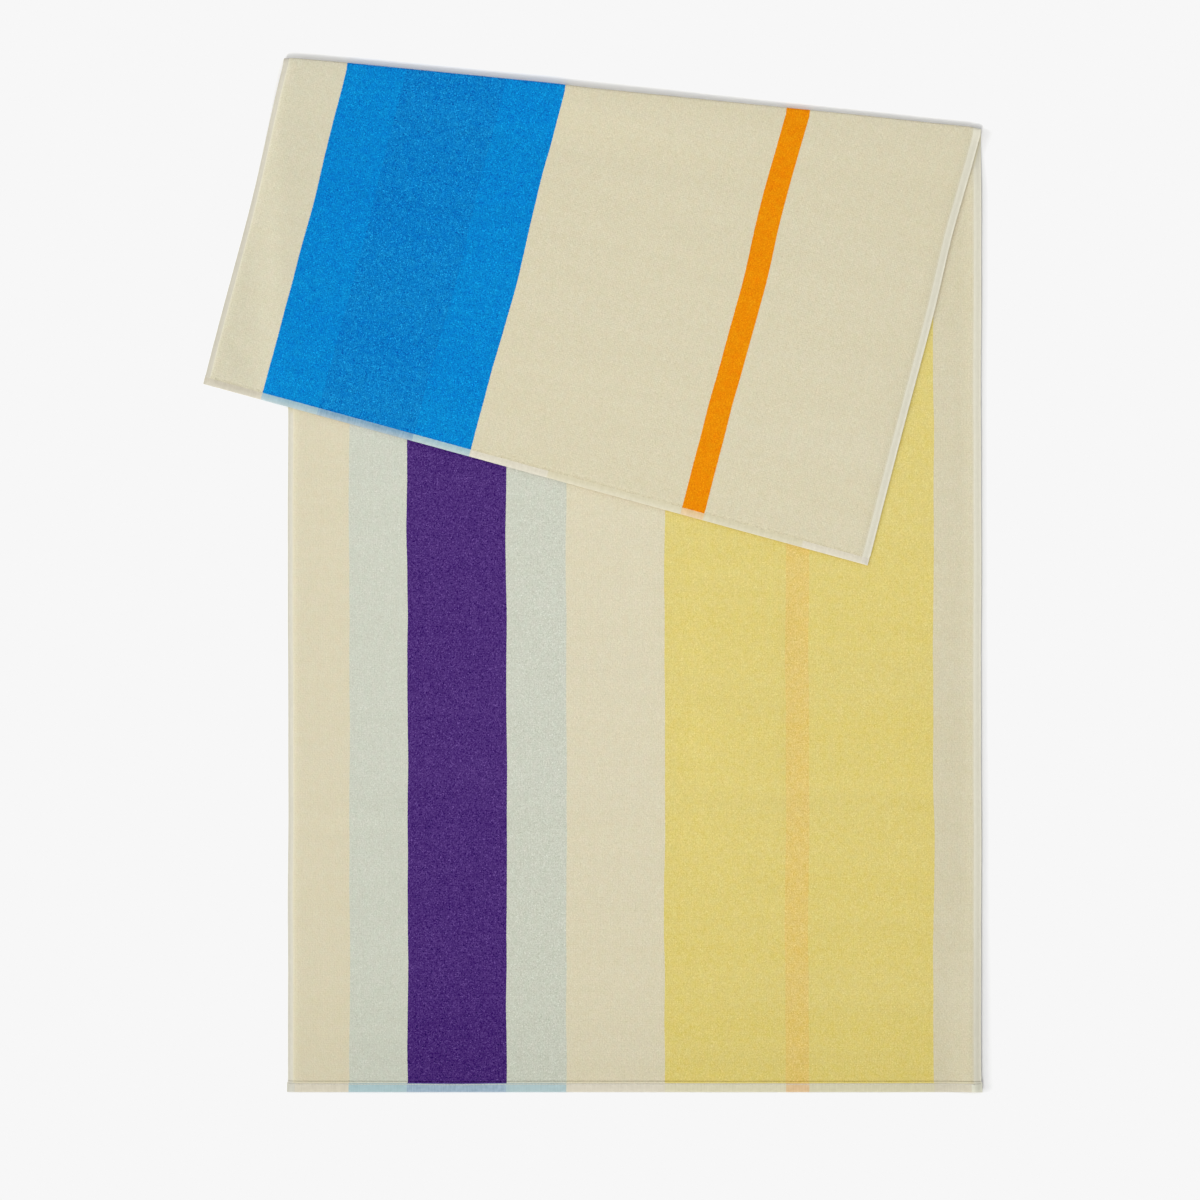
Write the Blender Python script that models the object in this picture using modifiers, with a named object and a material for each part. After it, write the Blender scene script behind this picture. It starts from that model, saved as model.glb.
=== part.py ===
"""A terry bath towel that lies flat, with its top end folded over at a slant.

It is one woven cloth, so it is one solid: a sheet of looped pile with a thin selvedge down each
long side and a turned hem across each end. The lower part lies on the floor face up. At the top
the cloth turns over a soft fold that isn't square to its sides, so the flap comes back at an
angle, shows the other face, and reaches past the left side, where it sinks to the floor.

Metres, +Z up. The towel rests on Z = 0, its lower hem runs along X at the -Y end, and the origin
is the middle of the rectangle that the lying towel covers.
"""

from math import atan2, cos, hypot, pi, sin, tan

import bmesh
import bpy

# The cloth.
WIDTH = 0.700                 # across, selvedge to selvedge
PILE_THICKNESS = 0.0032       # loops on both faces and the ground weave between them
SELVEDGE_WIDTH = 0.006
SELVEDGE_THICKNESS = 0.0020
HEM_WIDTH = 0.0095
HEM_THICKNESS = 0.0024        # flat weave turned in twice
HEM_OVERHANG = 0.0010         # each end of a hem stands out past the selvedge
PILE_STEP = 0.0015            # the loops rise over this length next to a hem or a selvedge

# Where it lies, seen from above.
LEFT_X = -0.309               # left side of the lower part
NEAR_Y = -0.522               # edge of the lower hem
LEFT_LENGTH = 1.043           # lower hem to fold, along the left side
RIGHT_LENGTH = 0.973          # lower hem to fold, along the right side
FLAP_HEM_LEFT = (-0.393, 0.192)
FLAP_HEM_RIGHT = (0.275, 0.009)
FLAP_BOW = 0.0013             # the flap's sides draw in this much half way down
WANDER = 0.0007               # the sides swing this much to and fro
WANDER_PITCH = 0.31           # length of one swing

# Heights.
LEFT_FOLD_RADIUS = 0.0030     # of the middle of the cloth, at the left end of the fold
RIGHT_FOLD_RADIUS = 0.0024    # and at its right end
FOLD_EASE = 0.060             # the fold's fullness is gone this far down the flap
LAYER_GAP = 0.0008            # between the two layers
DROP_START = 0.003            # the flap starts to sink this far left of the lower part
DROP_END = 0.038              # and lies on the floor from here on

# How finely the sheet is divided.
SLOPE_WIDTH = 0.110           # strip at the left, where the flap slopes to the floor
SLOPE_COLUMNS = 11
PLAIN_COLUMNS = 8
LOWER_ROWS = 12
FOLD_ROWS = 8
FLAP_ROWS = 16

TERRY_COLOUR = (0.69, 0.62, 0.42, 1.0)
TERRY_ROUGHNESS = 0.95


def clear_scene():
    """Remove every object that the start-up scene brings."""
    for obj in list(bpy.data.objects):
        bpy.data.objects.remove(obj, do_unlink=True)


def mix(start, end, share):
    """Value that lies the given share of the way from start to end."""
    return start + (end - start) * share


def ease(share):
    """Smooth step: 0 up to 0, 1 from 1 on, level at both ends."""
    share = min(max(share, 0.0), 1.0)
    return share * share * (3.0 - 2.0 * share)


def columns():
    """Stations across the cloth, left to right: distance from the left edge, thickness."""
    pile_left = SELVEDGE_WIDTH + PILE_STEP
    slope_end = pile_left + SLOPE_WIDTH
    pile_right = WIDTH - pile_left
    slope = [mix(pile_left, slope_end, k / SLOPE_COLUMNS) for k in range(SLOPE_COLUMNS)]
    plain = [mix(slope_end, pile_right, k / PLAIN_COLUMNS) for k in range(PLAIN_COLUMNS + 1)]
    left = [(0.0, SELVEDGE_THICKNESS), (SELVEDGE_WIDTH, SELVEDGE_THICKNESS)]
    right = [(WIDTH - SELVEDGE_WIDTH, SELVEDGE_THICKNESS), (WIDTH, SELVEDGE_THICKNESS)]
    return left + [(across, PILE_THICKNESS) for across in slope + plain] + right


def hem_to_fold(rows):
    """Stations from a hem's edge to the fold: margin, share of the rest, thickness."""
    hem = [(0.0, 0.0, HEM_THICKNESS), (HEM_WIDTH, 0.0, HEM_THICKNESS)]
    pile = [(HEM_WIDTH + PILE_STEP, k / rows, PILE_THICKNESS) for k in range(rows + 1)]
    return hem + pile


def rows():
    """Stations along the cloth: the lower part, round the fold, and down the flap to its hem."""
    lower = [("lower", *station) for station in hem_to_fold(LOWER_ROWS)]
    fold = [("fold", 0.0, k / FOLD_ROWS, PILE_THICKNESS) for k in range(1, FOLD_ROWS)]
    flap = [("flap", *station) for station in reversed(hem_to_fold(FLAP_ROWS))]
    return lower + fold + flap


def fold_frame(share):
    """The fold at this share of the width: its start in plan, its radius and its slant."""
    radius = mix(LEFT_FOLD_RADIUS, RIGHT_FOLD_RADIUS, share)
    length = mix(LEFT_LENGTH, RIGHT_LENGTH, share)
    slant = atan2(LEFT_LENGTH - RIGHT_LENGTH, WIDTH)
    start = (LEFT_X + share * WIDTH, NEAR_Y + length - radius - PILE_THICKNESS / 2)
    return start, radius, slant


def fold_turn(share, turn):
    """Plan point on the fold: half a circle square to the fold line, creeping along it."""
    start, radius, slant = fold_frame(share)
    out = radius * sin(pi * turn)
    creep = pi * radius * tan(slant) * turn
    x = start[0] + out * sin(slant) - creep * cos(slant)
    y = start[1] + out * cos(slant) + creep * sin(slant)
    return x, y


def wander(distance):
    """Sideways swing of the cloth, a sine of the distance from the lower hem."""
    return WANDER * sin(2 * pi * distance / WANDER_PITCH)


def lower_point(share, margin, rest, thickness):
    """Point on the lower part: straight up from the hem, its underside on the floor."""
    start = fold_frame(share)[0]
    distance = mix(margin, start[1] - NEAR_Y, rest)
    sway = wander(distance) * (1.0 - rest)
    return start[0] + sway, NEAR_Y + distance, thickness / 2


def fold_point(share, turn):
    """Point on the fold, which rises by its diameter over half a turn."""
    x, y = fold_turn(share, turn)
    radius = fold_frame(share)[1]
    return x, y, PILE_THICKNESS / 2 + radius * (1.0 - cos(pi * turn))


def flap_underside(x, share, distance):
    """Height under the flap: on the lower part, a little fuller by the fold, down at the left."""
    resting = PILE_THICKNESS + LAYER_GAP
    fullness = 2 * fold_frame(share)[1] - resting
    height = resting + fullness * ease(1.0 - distance / FOLD_EASE)
    past_side = LEFT_X - x
    return height * ease((DROP_END - past_side) / (DROP_END - DROP_START))


def flap_point(share, margin, rest, thickness):
    """Point on the flap: on the straight line from the fold to the flap's hem, bowed inwards."""
    fold_x, fold_y = fold_turn(share, 1.0)
    hem_x = mix(FLAP_HEM_LEFT[0], FLAP_HEM_RIGHT[0], share)
    hem_y = mix(FLAP_HEM_LEFT[1], FLAP_HEM_RIGHT[1], share)
    length = hypot(hem_x - fold_x, hem_y - fold_y)
    above_hem = mix(margin, length, rest)
    down = 1.0 - above_hem / length
    inwards = FLAP_BOW * 4.0 * down * (1.0 - down) * (1.0 - 2.0 * share)
    x = mix(fold_x, hem_x, down) + inwards
    y = mix(fold_y, hem_y, down)
    return x, y, flap_underside(x, share, length - above_hem) + thickness / 2


def cloth_point(column, row):
    """Middle of the cloth at a column and a row, and how thick the cloth is there."""
    across, side_thickness = column
    part, margin, rest, end_thickness = row
    share = across / WIDTH
    thickness = min(side_thickness, end_thickness)
    if part == "fold":
        return fold_point(share, rest), thickness
    if part == "lower":
        x, y, z = lower_point(share, margin, rest, thickness)
    else:
        x, y, z = flap_point(share, margin, rest, thickness)
    if end_thickness == HEM_THICKNESS:
        x += HEM_OVERHANG * (2.0 * share - 1.0)
    return (x, y, z), thickness


def build_sheet():
    """Open surface through the middle of the cloth, with each point's share of full thickness."""
    across, along = columns(), rows()
    sheet = bmesh.new()
    bmesh.ops.create_grid(sheet, x_segments=len(across) - 1, y_segments=len(along) - 1, size=0.5)
    shares = []
    for vert in sheet.verts:
        column = across[round((vert.co.x + 0.5) * (len(across) - 1))]
        row = along[round((vert.co.y + 0.5) * (len(along) - 1))]
        vert.co, thickness = cloth_point(column, row)
        shares.append(thickness / PILE_THICKNESS)
    mesh = bpy.data.meshes.new("towel")
    sheet.to_mesh(mesh)
    sheet.free()
    return mesh, shares


def terry_material():
    """Matt looped cotton."""
    material = bpy.data.materials.new("terry")
    material.use_nodes = True
    shader = material.node_tree.nodes["Principled BSDF"]
    shader.inputs["Base Color"].default_value = TERRY_COLOUR
    shader.inputs["Roughness"].default_value = TERRY_ROUGHNESS
    shader.inputs["Metallic"].default_value = 0.0
    return material


def build_towel(collection):
    """The whole towel: the sheet, given its thickness evenly to both sides."""
    mesh, shares = build_sheet()
    mesh.materials.append(terry_material())
    towel = bpy.data.objects.new("towel", mesh)
    collection.objects.link(towel)
    group = towel.vertex_groups.new(name="thickness")
    for index, share in enumerate(shares):
        group.add([index], share, "REPLACE")
    solidify = towel.modifiers.new("cloth thickness", "SOLIDIFY")
    solidify.thickness = PILE_THICKNESS
    solidify.offset = 0.0
    solidify.vertex_group = group.name
    return towel


def main():
    """Model the towel in a collection of its own."""
    clear_scene()
    collection = bpy.data.collections.new("bath_towel")
    bpy.context.scene.collection.children.link(collection)
    build_towel(collection)


main()
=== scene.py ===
# %% [markdown]
# # A striped terry bath towel, folded over at a slant
#
# The towel is one woven cloth. It lies flat with its face up, and its top end is turned over
# at a slant, so a flap shows the other face. The two faces have different stripes, because a
# terry loom holds one set of pile yarns for each face.
#
# The frame holds a plain solid of the towel. This lesson puts the real cloth in its place: a
# thin pile with rounded edges, flat hems and selvedges, rows of stitches, and woven colours.

# %% Load the frame
from collections import namedtuple

import bpy
import numpy as np
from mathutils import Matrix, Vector


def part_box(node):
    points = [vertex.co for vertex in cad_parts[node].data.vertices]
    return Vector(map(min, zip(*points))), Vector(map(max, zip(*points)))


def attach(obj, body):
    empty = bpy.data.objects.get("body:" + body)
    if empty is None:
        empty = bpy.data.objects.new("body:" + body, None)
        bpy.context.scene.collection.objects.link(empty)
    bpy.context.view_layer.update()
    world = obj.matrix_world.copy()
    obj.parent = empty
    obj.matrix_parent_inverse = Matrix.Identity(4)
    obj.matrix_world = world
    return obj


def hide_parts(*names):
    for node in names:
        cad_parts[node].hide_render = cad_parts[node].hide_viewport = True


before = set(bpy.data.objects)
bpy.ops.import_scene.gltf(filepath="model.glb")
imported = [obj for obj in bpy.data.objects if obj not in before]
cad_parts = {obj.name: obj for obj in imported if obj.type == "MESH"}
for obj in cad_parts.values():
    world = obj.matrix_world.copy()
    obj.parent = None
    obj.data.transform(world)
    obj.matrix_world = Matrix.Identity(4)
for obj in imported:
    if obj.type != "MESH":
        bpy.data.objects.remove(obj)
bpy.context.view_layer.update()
towel_low, towel_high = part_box("towel")
print("towel from", np.round(towel_low, 4), "to", np.round(towel_high, 4))

# %% [markdown]
# ## Sizes
#
# A few sizes drive everything: how wide the cloth is, how thick its pile, hems and selvedges
# are, and where the corners lie. The corners are measured from the frame's box: the near hem
# is its near side, and the flap's hem reaches its left side.

# %% Sizes of the cloth and of the way it lies
MM = 0.001
WIDTH = 700 * MM
CLOTH_LENGTH = 1410 * MM
PILE = 3.2 * MM  # thickness over the loops of both faces
SELVEDGE_LEFT = 5.2 * MM  # flat woven borders down the sides
SELVEDGE_RIGHT = 7.8 * MM
HEM = 9.2 * MM  # flat woven end, turned in and stitched
SEAM = 11.3 * MM  # a thread pulls the near hem's pile into a thin line here
FLAP_HEM = 7.2 * MM  # less of the hem shows on the flap, where the loops lean over it
HEM_OVERHANG = 1.0 * MM  # a hem is wider than the rest by this at each side
FLAP_OUT = 84 * MM  # the flap's hem reaches this far past the left side

near_y = towel_low[1]
left_x = towel_low[0] + HEM_OVERHANG + FLAP_OUT
LEFT_RUN = 1043 * MM  # near hem to fold, along the left side
RIGHT_RUN = 973 * MM  # near hem to fold, along the right side
flap_left = np.array([left_x - FLAP_OUT, near_y + 713.2 * MM])
flap_right = np.array([left_x + 584.5 * MM, near_y + 530.2 * MM])

LEFT_FOLD = 3.1 * MM  # half the fold's height, between the middles of its two layers
RIGHT_FOLD = 2.5 * MM
FOLD_REACH = 5.6 * MM  # from where the cloth starts to turn to its nose
FOLD_EASE = 60 * MM  # waves die out this near the fold
FOLD_BACK = 1.0 * MM  # the fold lies a little back of its straight line
LAYER_GAP = 0.3 * MM
DROP_START = 3 * MM  # the flap sinks to the floor left of the lower part
DROP_END = 38 * MM
print("near hem at y", round(near_y, 4), "and left side at x", round(left_x, 4))

# %% [markdown]
# ## Small tools
#
# A few ideas return in every cell. `mix` blends two values, `ease` is the smooth step that
# cloth follows when it changes level, and `bell` is a soft bump that fades both ways. `swell`
# is a bell with a size and a place.


# %% Blends and steps
def mix(start, end, share):
    """start plus the given share of the way to end."""
    return start + (end - start) * share


def ease(share):
    """Smooth step: 3x^2 - 2x^3 between 0 and 1, level outside."""
    share = np.clip(share, 0.0, 1.0)
    return share * share * (3.0 - 2.0 * share)


def bell(offset, width):
    """Gaussian bump: e to the minus the square of offset over width."""
    return np.exp(-(offset / width) ** 2)


def swell(value, size, middle, width):
    """Size times the bell of the distance from its middle."""
    return size * bell(value - middle, width)


print("ease a quarter of the way along:", ease(0.25))

# %% [markdown]
# ## The grid
#
# The cloth is a surface of two parameters: how far across it a point is, and how far along.
# Lines lie close together where something happens, at the rounded edges, the hems and the
# fold, and over 5 mm apart where the cloth is plain.

# %% Lines across and along the cloth
LEFT_LINES = np.array([0, 0.1, 0.3, 0.6, 1.2, 2.2, 3.4, 4.5, 4.9, 5.2, 5.6, 6.6, 8.2, 11, 15]) * MM
RIGHT_LINES = np.array([0, 0.1, 0.3, 0.6, 1.2, 2.4, 4.0, 5.8, 7.2, 7.8, 8.2, 9.2, 10.6, 13, 17]) * MM
HEM_LINES = np.array([0, 0.15, 0.5, 1.1, 2.2, 4.0, 6.0, 7.2, 7.7, 8.2, 8.7, 9.0, 9.2, 9.7, 10.3, 10.75,
                      10.95, 11.15, 11.3, 11.45, 11.65, 12.0, 13.0, 17]) * MM
FLAP_LINES = np.array([0, 0.15, 0.5, 1.1, 2.2, 3.6, 5.0, 6.2, 6.8, 7.2, 7.35, 7.7, 8.3, 9.0, 9.8,
                       10.3, 10.9, 12.5, 17]) * MM
SPACING = 5.6 * MM
FLAP_RUN = 400 * MM  # roughly, from the fold to the flap's hem
FOLD_LINES = 19


def between(start, end, spacing):
    """Evenly spaced values strictly between two ends, about one spacing apart."""
    return np.linspace(start, end, int(round((end - start) / spacing)) + 1)[1:-1]


across = np.concatenate([
    LEFT_LINES,
    between(LEFT_LINES[-1], WIDTH - RIGHT_LINES[-1], SPACING),
    WIDTH - RIGHT_LINES[::-1],
])
lower_shares = np.append(between(0.0, 1.0, SPACING / LEFT_RUN), 1.0)[:-1]
flap_shares = between(0.0, 1.0, SPACING / FLAP_RUN)
turns = np.linspace(0.0, np.pi, FOLD_LINES)
columns = len(across)
print(columns, "lines along the cloth")

# %% [markdown]
# ## Where the cloth runs
#
# Seen from above, the lower part runs from its hem to a slanted fold line, which the right side
# reaches first. The flap runs from there to its own hem. So each line along the cloth has three
# stretches: the lower part, half a turn round the fold, and the flap.
#
# A fold in terry isn't a neat half circle. The cloth stays level almost to the end, then turns
# down over a full shoulder. A superellipse gives that shape: its sine and cosine are raised to
# a power below one, which squares the half circle.

# %% The fold
SHOULDER = 0.48  # the power
FULLER = (0.6 * MM, 0.46, 0.16)  # the fold is highest here, as a share of the width
LEFT_PULL, RIGHT_PULL = 3.0 * MM, 1.5 * MM  # the turn draws the cloth leftwards at its two ends
CORNER_BACK = 0.6 * MM
# The fold line steps back twice: how far, from which share of the width, over what share.
STEPS_BACK = [(1.0 * MM, 0.37, 0.08), (0.6 * MM, 0.80, 0.15)]

slant = np.arctan2(LEFT_RUN - RIGHT_RUN, WIDTH)
fold_out = np.array([np.sin(slant), np.cos(slant)])
fold_along = np.array([np.cos(slant), -np.sin(slant)])
share = across / WIDTH
fold_rise = mix(LEFT_FOLD, RIGHT_FOLD, ease((share - 0.45) / 0.35)) + swell(share, *FULLER)
pull = LEFT_PULL * bell(across, 40 * MM) + RIGHT_PULL * bell(WIDTH - across, 60 * MM)
back = FOLD_BACK + CORNER_BACK * (1 - share) ** 16
for amount, begin, width in STEPS_BACK:
    back += amount * ease((share - begin) / width)
fold_y = near_y + mix(LEFT_RUN, RIGHT_RUN, share) - FOLD_REACH - PILE / 2 - back
fold_start = np.stack([left_x + across - pull, fold_y], -1)
creep = np.pi * FOLD_REACH / 2 * np.tan(slant)  # the slanted turn carries each line leftwards
fold_end = fold_start - creep * fold_along


def fold_arc(reach, rise):
    """Half a turn: out by reach times sine^power, up by rise times (1 - cosine^power)."""
    turn = turns[:, None] + np.zeros(columns)
    out = reach * np.sin(turn) ** SHOULDER
    cosine = np.cos(turn)
    up = PILE / 2 + fold_rise - rise * np.sign(cosine) * np.abs(cosine) ** SHOULDER
    plan = (fold_start + out[..., None] * fold_out
            - (creep * turn / np.pi)[..., None] * fold_along)
    return np.concatenate([plan, up[..., None]], -1)


flap_hem = mix(flap_left, flap_right, share[:, None])
lower_run = fold_start[:, 1] - near_y
flap_run = np.linalg.norm(flap_hem - fold_end, axis=1)


def stretch(length, lines, shares):
    """Distances from a hem to the fold: the hem's own lines, then even shares of the rest."""
    hem = lines[:, None] + np.zeros_like(length)
    rest = lines[-1] + shares[:, None] * (length - lines[-1])
    return np.concatenate([hem, rest])


from_hem = stretch(lower_run, HEM_LINES, lower_shares)
from_flap_hem = stretch(flap_run, FLAP_LINES, flap_shares)[::-1]
n_lower, n_fold, n_flap = len(from_hem), len(turns), len(from_flap_hem)
rows = n_lower + n_fold + n_flap
lower, fold = slice(0, n_lower), slice(n_lower, n_lower + n_fold)
flap = slice(n_lower + n_fold, rows)
print("lines across the lower part, the fold and the flap:", n_lower, n_fold, n_flap)

# %% [markdown]
# ## Thickness
#
# Each face stands at its own height over the middle of the cloth. The pile is 1.6 mm each
# side. A selvedge is thin flat weave, and the loops begin beside it. A hem is the flat weave
# turned in and sewn down, and a row of stitches dents it. Just past the near hem a tight
# thread pulls the pile into a thin line. All edges close in a quarter circle.

# %% Heights of the two faces
STITCHES = 8.2 * MM  # from each hem's edge
SIDE_WEAVE, HEM_WEAVE = 1.20 * MM, 1.40 * MM  # half thickness of the flat weave
NEAR_LIP, FLAP_LIP = 0.9 * MM, 0.8 * MM  # and at the very end of a hem
SEAM_DEPTH, STITCH_DENT = 1.00 * MM, 0.05 * MM
in_flap = np.arange(rows)[:, None] >= n_lower + n_fold
edge_dist = np.minimum(across, WIDTH - across) + np.zeros((rows, 1))
border = np.where(across < WIDTH / 2, SELVEDGE_LEFT, SELVEDGE_RIGHT)
end_dist = np.full((rows, columns), 1.0)
end_dist[lower] = from_hem
end_dist[flap] = from_flap_hem
side_edge = np.where(in_flap, 0.42, 0.62) * MM  # half thickness at a side, thinner on the flap


def rounded(distance, radius):
    """Quarter circle: 0 at the edge, 1 from one radius inwards."""
    return np.sqrt(1.0 - (1.0 - np.clip(distance / radius, 0.0, 1.0)) ** 2)


def side_height(edge):
    """Half thickness near a side: a thin edge, flat weave that thickens inwards, then pile."""
    flat = mix(side_edge, SIDE_WEAVE, ease((edge - 1.2 * MM) / (4.5 * MM)))
    return mix(flat, PILE / 2, ease((edge - border + 0.8 * MM) / (6.0 * MM))) * rounded(edge, 0.3 * MM)


def hem_height(end, start, lip, slope):
    """Half thickness near a hem: a lip, flat weave, a dent for stitches, then pile from its start."""
    flat = mix(lip, HEM_WEAVE, ease(end / (4.5 * MM))) - swell(end, STITCH_DENT, STITCHES, 0.6 * MM)
    return mix(flat, PILE / 2, ease((end - start + 0.3 * MM) / slope)) * rounded(end, 0.8 * MM)


sides = side_height(edge_dist)
half_a = np.minimum(sides, hem_height(end_dist, HEM, NEAR_LIP, 1.5 * MM))
half_a -= np.where(in_flap, 0.0, swell(end_dist, SEAM_DEPTH, SEAM, 0.21 * MM))
pile_start_b = np.where(in_flap, FLAP_HEM, HEM)
half_b = np.minimum(sides, hem_height(end_dist, pile_start_b, FLAP_LIP, 3.5 * MM))
# How high the middle surface stands over what it rests on.
end_bearing = mix(HEM_WEAVE, PILE / 2, ease((end_dist - 4 * MM) / (7 * MM)))
side_bearing = mix(side_edge + 0.02 * MM, PILE / 2, ease((edge_dist - 1.2 * MM) / (9 * MM)))
bearing = np.minimum(end_bearing, side_bearing)
print("half thickness in the hem and in the pile, mm:",
      round(half_a[5, columns // 2] / MM, 2), round(half_a.max() / MM, 2))

# %% [markdown]
# ## Creases
#
# The towel was folded in a pack before it was laid out, and faint lines are left. Each is a
# soft trough along a short line with a low swell on both sides, and it fades out at both ends.
# Two slow waves keep the rest from being dead flat.

# %% Creases as a table
# Millimetres: where each starts and ends (across from the left side, along from the near hem),
# its depth and its width. First the lower part.
LOWER_CREASES = [
    (380, 300, 705, 300, 2.0, 26), (395, 405, 520, 405, 1.6, 30),
    (400, 176, 705, 174, 1.2, 15), (380, 43, 655, 41, 1.0, 16),
    (560, 89, 705, 89, 0.8, 15), (536, 458, 690, 456, -0.7, 11),
    (110, 457, 330, 440, 0.6, 9), (110, 384, 290, 386, 0.5, 12),
    (5, 264, 130, 262, 0.8, 15), (0, 60, 180, 40, 0.5, 14),
    (345, 520, 390, 518, 0.5, 10),
]
# Across as above, along measured down the flap from the fold.
FLAP_CREASES = [
    (60, 36, 250, 48, 0.8, 12), (150, 30, 215, 42, 0.5, 6),
    (70, 118, 330, 122, 1.0, 14), (290, 285, 520, 300, 0.5, 10),
    (430, 170, 560, 176, 0.5, 9), (8, 272, 44, 316, 0.9, 9),
    (560, 330, 700, 300, 0.5, 12), (655, 230, 625, 345, 0.7, 12),
]


def trough(x, y, crease):
    """Depth times a sharp peak less a wide one over the distance to the line, faded at its ends."""
    x0, y0, x1, y1, depth, width = (value * MM for value in crease)
    length = np.hypot(x1 - x0, y1 - y0)
    ux, uy = (x1 - x0) / length, (y1 - y0) / length
    along = (x - x0) * ux + (y - y0) * uy
    off = (y - y0) * ux - (x - x0) * uy
    fade = ease(along / (0.25 * length)) * ease((length - along) / (0.25 * length))
    sharp = np.sqrt(1.0 + (2.0 * off / width) ** 2)
    wide = np.sqrt(1.0 + (0.6 * off / width) ** 2)
    return depth * fade * (np.exp(1.0 - sharp) - np.exp(1.0 - wide))


def relief(x, y, creases):
    """Slow waves, less every crease."""
    waves = 0.14 * MM * np.sin(y / (95 * MM) + 1.1 * np.sin(x / (140 * MM)))
    waves += 0.08 * MM * np.sin(x / (61 * MM) + 2.0 * np.sin(y / (170 * MM)) + 0.6)
    return waves - sum(trough(x, y, crease) for crease in creases)


across_grid = across + np.zeros((rows, 1))
down_flap = flap_run - end_dist[flap]
lower_relief = relief(across_grid[lower], from_hem, LOWER_CREASES)
flap_relief = relief(across_grid[flap], down_flap, FLAP_CREASES)
print("relief of the lower part and the flap, mm:",
      [round(np.ptp(part) / MM, 2) for part in (lower_relief, flap_relief)])

# %% [markdown]
# ## The lie of the cloth
#
# Now the middle surface gets its place. The lower part lies on the floor, and its right side
# curls up a little, most at the near corner. The flap rests on the lower part, over all its
# waves, and left of it sinks to the floor. Woven sides are never ruler straight, so the whole
# cloth sways by a fraction of a millimetre.
#
# A cloth simulation could drop the towel into place, but its folds are wanted in known places,
# and surfaces worked out directly put them there exactly.

# %% Place the middle surface
CURL_WIDTH, CURL_RISE = 18 * MM, 2.1 * MM
CORNER_LENGTH, CORNER_RISE, CORNER_DIP = 240 * MM, 2.4 * MM, 1.3 * MM
# Where an outline leaves its straight line: how far, where its middle is, and how wide it is.
LEFT_IN, RIGHT_IN = (0.4 * MM, 0.0, 12 * MM), (-1.4 * MM, WIDTH, 20 * MM)
WAIST_IN, WAIST = (0.6 * MM, 0.0, 40 * MM), (1.0, 280 * MM, 75 * MM)
SEAM_LEAN, LEAN_ROWS = (0.7 * MM, 172 * MM, 36 * MM), (1.0, 10 * MM, 4 * MM)
HEM_BULGE = (0.05 * MM, 0.0, 3 * MM)
# The same for the flap's sides, as shares of the way down.
LEFT_OUT, LEFT_BOW = 0.85 * MM, (2.9 * MM, 0.44, 0.27)
RIGHT_BOW, RIGHT_DENT = (-2.0 * MM, 0.23, 0.11), (-0.3 * MM, 0.80, 0.16)


def sway(x, y):
    """Sideways wander: two sines along the cloth, out of step from side to side."""
    slow = 0.22 * MM * np.sin(y / (49 * MM) + 3.0 * x / WIDTH)
    quick = 0.09 * MM * np.sin(y / (21 * MM) + 7.0 * x / WIDTH + 1.3)
    return slow + quick


def flap_floor(x, down, edge):
    """Height under the flap: full by the fold, then on the lower part, on the floor at the left."""
    resting = PILE + LAYER_GAP * mix(0.4, 1.0, ease(edge / (20 * MM)))
    height = resting + (2 * fold_rise - resting) * ease(1.0 - down / FOLD_EASE)
    return height * ease((DROP_END - (left_x - x)) / (DROP_END - DROP_START))


overhang = HEM_OVERHANG * (2 * share - 1) * (1.0 - ease((end_dist - HEM) / (1.0 * MM)))
middle = np.zeros((rows, columns, 3))
middle[fold] = fold_arc(FOLD_REACH, fold_rise)

calm = ease((lower_run - from_hem) / FOLD_EASE)
from_right = across - WIDTH
corner = CORNER_RISE * ease((from_right + 2 * CURL_WIDTH) / (1.4 * CURL_WIDTH))
corner -= CORNER_DIP * ease((from_right + 10 * MM) / (10 * MM))
by_corner = ease(1 - from_hem / CORNER_LENGTH)
curl = (CURL_RISE * ease((from_right + CURL_WIDTH) / CURL_WIDTH) + corner * by_corner) * calm
narrowed = (swell(across, *LEFT_IN) + swell(across, *RIGHT_IN)
            + swell(across, *WAIST_IN) * swell(from_hem, *WAIST))
leaning = swell(across, *SEAM_LEAN) * swell(from_hem, *LEAN_ROWS)
middle[lower, :, 0] = left_x + across + narrowed + sway(across, from_hem) * calm + overhang[lower]
middle[lower, :, 1] = near_y + from_hem - swell(from_hem, *HEM_BULGE) - leaning
middle[lower, :, 2] = bearing[lower] + (lower_relief - lower_relief.min()) * calm + curl

settled = ease(down_flap / FOLD_EASE)
down = down_flap / flap_run
flap_x, flap_y = np.moveaxis(mix(fold_end, flap_hem, down[..., None]), -1, 0)
bow_left = swell(down, *LEFT_BOW) - LEFT_OUT
bow_right = swell(down, *RIGHT_BOW) + swell(down, *RIGHT_DENT)
flap_x += (mix(bow_left, bow_right, share) + 0.8 * sway(across, WIDTH + down_flap)) * settled
flap_x += overhang[flap] * mix(0.3, -0.4, share)
under = relief(flap_x - left_x, flap_y - near_y, LOWER_CREASES) - lower_relief.min()
on_cloth = ease((flap_x - left_x + 20 * MM) / (20 * MM))
flap_z = flap_floor(flap_x, down_flap, edge_dist[flap]) + bearing[flap]
flap_z += (flap_relief - flap_relief.min() + under * on_cloth) * settled
middle[flap] = np.stack([flap_x, flap_y, flap_z], -1)
print("middle surface:", rows, "by", columns, "points")

# %% [markdown]
# ## Two faces and an edge
#
# The faces lie on either side of the middle surface, along its normal. Round the fold the
# outer face takes a larger arc and the inner one a smaller. At the rim the half thickness is
# zero, so both faces share those points there, and the mesh is closed without extra borders.


# %% Make the mesh
def surface_normals(points):
    """Cross product of the steps across and along, made one unit long."""
    step_along, step_across = np.gradient(points, axis=(0, 1))
    normal = np.cross(step_across, step_along)
    return normal / np.linalg.norm(normal, axis=2, keepdims=True)


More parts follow.
